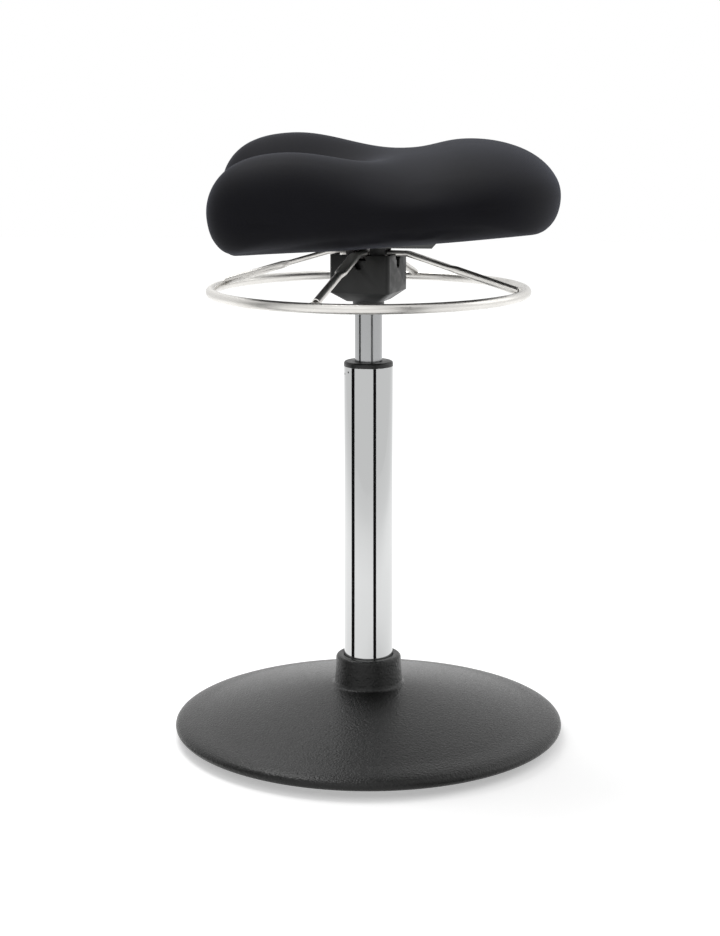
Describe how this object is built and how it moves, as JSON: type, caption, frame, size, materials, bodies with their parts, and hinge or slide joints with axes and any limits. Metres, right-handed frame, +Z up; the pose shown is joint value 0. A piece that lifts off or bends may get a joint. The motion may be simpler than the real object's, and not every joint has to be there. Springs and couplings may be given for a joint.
{
  "type": "perch stool",
  "caption": "Perch stool with a saddle seat tilted forward, a gas lift in a chromed column, a ring under the seat that releases the height, and a round weighted base.",
  "frame": {"origin": "middle of the sole, on the floor", "axes": "+Z up along the column, -Y towards the low front of the seat"},
  "size_m": [0.4, 0.4, 0.6194],
  "materials": {
    "moulded_shell": "moulded, fine texture",
    "sole_rubber": "matt",
    "zinc_steel": "zinc plated",
    "ballast_iron": "painted black",
    "tube_chrome": "polished chrome",
    "bush_plastic": "turned, satin",
    "bearing_steel": "ground",
    "cage_plastic": "moulded",
    "cylinder_chrome": "satin chrome",
    "seal_rubber": "matt",
    "cover_plastic": "moulded",
    "ring_steel": "drawn, bright",
    "bracket_steel": "grey powder coat",
    "plywood": "sanded",
    "foam": "moulded foam",
    "knit": "black stretch knit"
  },
  "bodies": {
    "base": {"floor_pad": "sole_rubber", "base_plate": "zinc_steel", "base_screws": "zinc_steel", "ballast_disc": "ballast_iron", "socket_bolts": "zinc_steel", "column_socket": "zinc_steel", "base_cover": "moulded_shell", "outer_tube": "tube_chrome", "guide_bush": "bush_plastic", "tube_end_plate": "zinc_steel", "lower_race": "bearing_steel"},
    "swivel": {"bearing_balls": "bearing_steel", "ball_cage": "cage_plastic", "upper_race": "bearing_steel", "rod_washer": "bearing_steel", "rod_clip": "bearing_steel", "piston_rod": "bearing_steel", "bump_stop": "seal_rubber", "piston": "bearing_steel", "piston_seal": "seal_rubber", "piston_nut": "zinc_steel"},
    "lift": {"gas_cylinder": "cylinder_chrome", "rod_guide": "bush_plastic", "rod_seal": "seal_rubber", "valve_body": "bush_plastic", "mechanism_cover": "cover_plastic", "seat_socket": "zinc_steel", "seat_bracket": "bracket_steel", "seat_screws": "zinc_steel", "tee_nuts": "zinc_steel", "seat_board": "plywood", "seat_foam": "foam", "seat_cover": "knit"},
    "valve": {"valve_pin": "bearing_steel"},
    "button": {"pressure_button": "bush_plastic"},
    "ring": {"release_ring": "ring_steel", "cross_bar_long": "ring_steel", "cross_bar_short": "ring_steel", "ring_hub": "zinc_steel"}
  },
  "joints": [
    {"name": "seat_swivel", "type": "hinge", "parent": "base", "child": "swivel", "pos_m": [0, 0, 0.0255], "axis": [0, 0, 1], "continuous": true},
    {"name": "seat_height", "type": "slide", "parent": "swivel", "child": "lift", "axis": [0, 0, 1], "range_m": [-0.055, 0.2]},
    {"name": "valve_press", "type": "slide", "parent": "lift", "child": "valve", "axis": [0, 0, 1], "range_m": [-0.0015, 0], "stiffness_N_per_m": 20000, "springref_m": 0.001},
    {"name": "ring_tilt_side", "type": "hinge", "parent": "valve", "child": "button", "pos_m": [0, 0, 0.504], "axis": [0.9724, -0.2334, 0], "range_deg": [-2, 2], "stiffness_Nm_per_rad": 60},
    {"name": "ring_tilt_front", "type": "hinge", "parent": "button", "child": "ring", "pos_m": [0, 0, 0.504], "axis": [0.2334, 0.9724, 0], "range_deg": [-2, 2], "stiffness_Nm_per_rad": 60}
  ]
}
